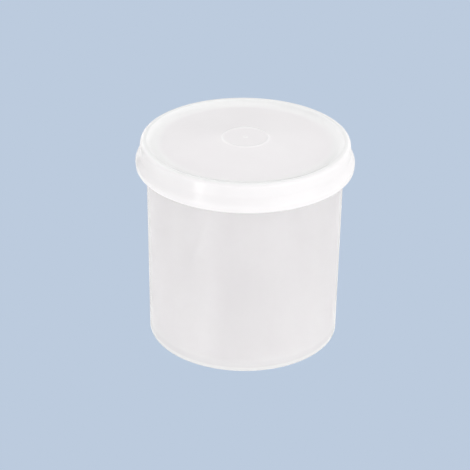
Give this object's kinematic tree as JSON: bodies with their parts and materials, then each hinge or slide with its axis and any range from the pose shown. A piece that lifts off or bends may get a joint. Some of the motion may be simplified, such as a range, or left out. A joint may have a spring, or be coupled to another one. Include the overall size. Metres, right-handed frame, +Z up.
{
  "type": "slide staining jar",
  "caption": "Round translucent plastic jar with a slight taper and a wide mouth, closed by a press-on lid with a domed panel, a raised crest and a lipped skirt.",
  "frame": {"origin": "centre of the jar's standing ring, on the surface that it stands on", "axes": "+Z up along the jar's axis, from the foot to the lid"},
  "size_m": [0.0872, 0.0872, 0.0851],
  "materials": {
    "jar": "natural translucent polypropylene, milky grey-white, smooth with a soft gloss",
    "lid": "natural soft polyethylene, milky white, satin"
  },
  "bodies": {
    "jar": {"jar": "jar"},
    "lid": {"lid": "lid"}
  },
  "joints": [
    {"name": "lid_lift", "type": "slide", "parent": "jar", "child": "lid", "axis": [0, 0, 1], "range_m": [0, 0.03]}
  ]
}
